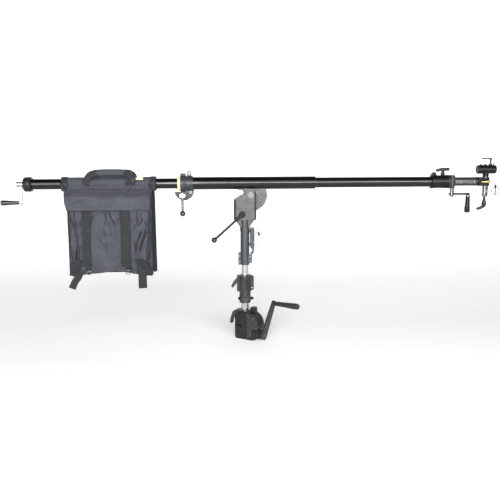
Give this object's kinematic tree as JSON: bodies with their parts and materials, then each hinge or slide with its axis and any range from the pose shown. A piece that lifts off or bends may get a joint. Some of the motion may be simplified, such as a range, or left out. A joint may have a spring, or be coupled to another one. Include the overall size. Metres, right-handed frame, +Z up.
{
  "type": "geared lighting boom arm",
  "caption": "Telescopic lighting boom with gear cranks, a rotating lamp socket head, a hanging counterweight bag and a tilting yoke on the winch head of a wind-up stand.",
  "frame": {"origin": "centre of the mast socket's mouth on the underside of the winch housing", "axes": "+Z up along the stand's column, +X along the boom towards the lamp head, -Y towards the side with the racks and levers"},
  "size_m": [2.1922, 0.1891, 0.805],
  "materials": {
    "cast_grey": "satin powder coat on rough castings",
    "yoke_grey": "mid grey satin casting",
    "disc_grey": "mottled bare casting, worn",
    "sleeve_steel": "dark blue-grey satin tube",
    "black_tube": "gloss black anodised tube",
    "black_casting": "black satin casting",
    "chrome": "bright chrome",
    "steel": "machined steel",
    "bronze": "bronze bush",
    "brass": "turned brass",
    "black_plastic": "gloss black moulding",
    "rubber_grip": "matte black moulded grip",
    "cream_liner": "cream nylon liner",
    "bag_fabric": "blue-grey woven nylon",
    "lanyard_cord": "thin steel lanyard wire"
  },
  "bodies": {
    "winch": {"winch_housing": "cast_grey", "gear_cover": "cast_grey", "cover_screws": "steel", "winch_bushes": "bronze"},
    "riser_lock_lever": {"riser_lock_lever": "cast_grey"},
    "winch_crank": {"worm_shaft": "steel", "winch_crank_arm": "cast_grey"},
    "winch_grip": {"winch_grip": "rubber_grip"},
    "winch_gear": {"winch_gear": "steel"},
    "rack_gear": {"rack_gear": "steel"},
    "riser_2": {"lower_riser": "chrome", "riser_collar": "cast_grey", "collar_cross_bolt": "cast_grey"},
    "collar_lever": {"collar_lever": "cast_grey"},
    "collar_latch": {"collar_latch": "black_plastic"},
    "riser_1": {"upper_riser": "chrome"},
    "yoke": {"stand_sleeve": "sleeve_steel", "sleeve_bolts": "steel", "sleeve_bracket": "sleeve_steel", "bracket_wire": "steel", "yoke": "yoke_grey", "yoke_bolts": "steel"},
    "tilt_lever": {"tilt_lever": "black_casting", "tilt_lever_ball": "black_plastic"},
    "boom": {"outer_tube": "black_tube", "tilt_disc": "disc_grey", "main_collar": "cast_grey", "clamp_ring": "cast_grey", "collar_liner": "cream_liner", "collar_bolts": "steel"},
    "cam_lever": {"cam_lever": "chrome", "cam_lever_ball": "black_plastic"},
    "inner_boom": {"inner_tube": "black_tube", "rear_cap": "black_plastic", "rear_bearing": "bronze", "front_collar": "black_casting", "front_bush": "bronze", "pinion_bracket": "cast_grey"},
    "bag": {"bag_sleeve": "bag_fabric", "bag_pouches": "bag_fabric", "bag_buckles": "chrome"},
    "wing_knob": {"wing_knob": "black_plastic"},
    "rear_crank": {"drive_tube": "steel", "rear_crank_arm": "steel"},
    "rear_grip": {"rear_grip": "black_plastic"},
    "extension_crank": {"extension_pinion": "chrome", "extension_crank_arm": "black_casting"},
    "extension_grip": {"extension_grip": "black_plastic"},
    "front_boom": {"front_tube": "black_tube", "front_rack": "steel", "tail_bush": "rubber_grip"},
    "head": {"head_block": "black_casting", "drive_rod": "steel", "brass_screw": "brass"},
    "lamp_head": {"head_post": "chrome", "lamp_socket": "black_casting", "safety_lanyard": "lanyard_cord", "safety_pin": "steel"},
    "t_screw": {"t_screw": "chrome"},
    "ratchet_lever": {"ratchet_lever": "black_plastic"}
  },
  "joints": [
    {"name": "winch_crank_turn", "type": "hinge", "parent": "winch", "child": "winch_crank", "pos_m": [0.07424, -0.08398, 0.031], "axis": [0.8387, -0.5446, 0], "range_deg": [0, 1375]},
    {"name": "winch_grip_spin", "type": "hinge", "parent": "winch_crank", "child": "winch_grip", "pos_m": [0.18484, -0.04587, 0.1556], "axis": [0.8387, -0.5446, 0], "continuous": true},
    {"name": "winch_gear_turn", "type": "hinge", "parent": "winch", "child": "winch_gear", "pos_m": [0.05166, -0.03355, 0.064], "axis": [0.5446, 0.8387, 0], "range_deg": [-116, 1]},
    {"name": "rack_gear_turn", "type": "hinge", "parent": "winch", "child": "rack_gear", "pos_m": [0.02818, -0.0183, 0.064], "axis": [0.5446, 0.8387, 0], "range_deg": [-1, 116]},
    {"name": "riser_2_slide", "type": "slide", "parent": "winch", "child": "riser_2", "axis": [0, 0, 1], "range_m": [0, 0.0285]},
    {"name": "riser_lock_turn", "type": "hinge", "parent": "winch", "child": "riser_lock_lever", "pos_m": [-0.03187, 0.0207, 0.114], "axis": [0.5446, 0.8387, 0], "range_deg": [0, 110]},
    {"name": "collar_lever_turn", "type": "hinge", "parent": "riser_2", "child": "collar_lever", "pos_m": [-0.031, 0, 0.277], "axis": [0, 1, 0], "range_deg": [0, 100]},
    {"name": "collar_latch_turn", "type": "hinge", "parent": "riser_2", "child": "collar_latch", "pos_m": [0.007, 0, 0.262], "axis": [0, 1, 0], "range_deg": [-40, 40]},
    {"name": "riser_1_slide", "type": "slide", "parent": "riser_2", "child": "riser_1", "axis": [0, 0, 1], "range_m": [-0.04, 0.12]},
    {"name": "yoke_pan", "type": "hinge", "parent": "riser_1", "child": "yoke", "pos_m": [0, 0, 0.42], "axis": [0, 0, 1], "continuous": true},
    {"name": "tilt_lever_turn", "type": "hinge", "parent": "yoke", "child": "tilt_lever", "pos_m": [-0.012, 0, 0.565], "axis": [0, 1, 0], "range_deg": [-60, 60]},
    {"name": "boom_tilt", "type": "hinge", "parent": "yoke", "child": "boom", "pos_m": [0.026, 0, 0.648], "axis": [0, 1, 0], "range_deg": [-33, 45]},
    {"name": "cam_lever_turn", "type": "hinge", "parent": "boom", "child": "cam_lever", "pos_m": [-0.272, 0, 0.648], "axis": [0, 1, 0], "range_deg": [-75, 10]},
    {"name": "boom_slide", "type": "slide", "parent": "boom", "child": "inner_boom", "axis": [1, 0, 0], "range_m": [-0.48, 0.04]},
    {"name": "bag_slide", "type": "slide", "parent": "inner_boom", "child": "bag", "axis": [1, 0, 0], "range_m": [-0.1, 0.04]},
    {"name": "wing_knob_turn", "type": "hinge", "parent": "inner_boom", "child": "wing_knob", "pos_m": [0.882, 0, 0.745], "axis": [0, 0, 1], "continuous": true},
    {"name": "rear_crank_turn", "type": "hinge", "parent": "inner_boom", "child": "rear_crank", "pos_m": [-0.965, 0, 0.7], "axis": [1, 0, 0], "continuous": true},
    {"name": "rear_grip_spin", "type": "hinge", "parent": "rear_crank", "child": "rear_grip", "pos_m": [-1.01, 0, 0.621], "axis": [1, 0, 0], "continuous": true},
    {"name": "extension_crank_turn", "type": "hinge", "parent": "inner_boom", "child": "extension_crank", "pos_m": [0.918, -0.0251, 0.7], "axis": [0, 0, 1], "continuous": true},
    {"name": "extension_grip_spin", "type": "hinge", "parent": "extension_crank", "child": "extension_grip", "pos_m": [0.992, -0.0251, 0.61], "axis": [0, 0, 1], "continuous": true},
    {"name": "front_slide", "type": "slide", "parent": "inner_boom", "child": "front_boom", "axis": [1, 0, 0], "range_m": [0, 1.6]},
    {"name": "head_roll", "type": "hinge", "parent": "front_boom", "child": "head", "pos_m": [1.04, 0, 0.7], "axis": [1, 0, 0], "continuous": true},
    {"name": "lamp_pan", "type": "hinge", "parent": "head", "child": "lamp_head", "pos_m": [1.078, 0, 0.7], "axis": [0, 0, 1], "range_deg": [-100, 100]},
    {"name": "t_screw_turn", "type": "hinge", "parent": "lamp_head", "child": "t_screw", "pos_m": [1.097, 0, 0.79], "axis": [0, 0, 1], "range_deg": [-80, 80]},
    {"name": "ratchet_lever_turn", "type": "hinge", "parent": "lamp_head", "child": "ratchet_lever", "pos_m": [1.078, 0, 0.605], "axis": [0, 0, 1], "continuous": true}
  ],
  "couplings": [
    {"joint": "riser_2_slide", "follows": "winch_crank_turn", "m_per_rad": 0.0011667},
    {"joint": "rack_gear_turn", "follows": "winch_crank_turn", "ratio": 0.083333},
    {"joint": "winch_gear_turn", "follows": "winch_crank_turn", "ratio": -0.083333},
    {"joint": "extension_crank_turn", "follows": "front_slide", "rad_per_m": -133.33},
    {"joint": "rear_crank_turn", "follows": "head_roll", "ratio": 1}
  ]
}
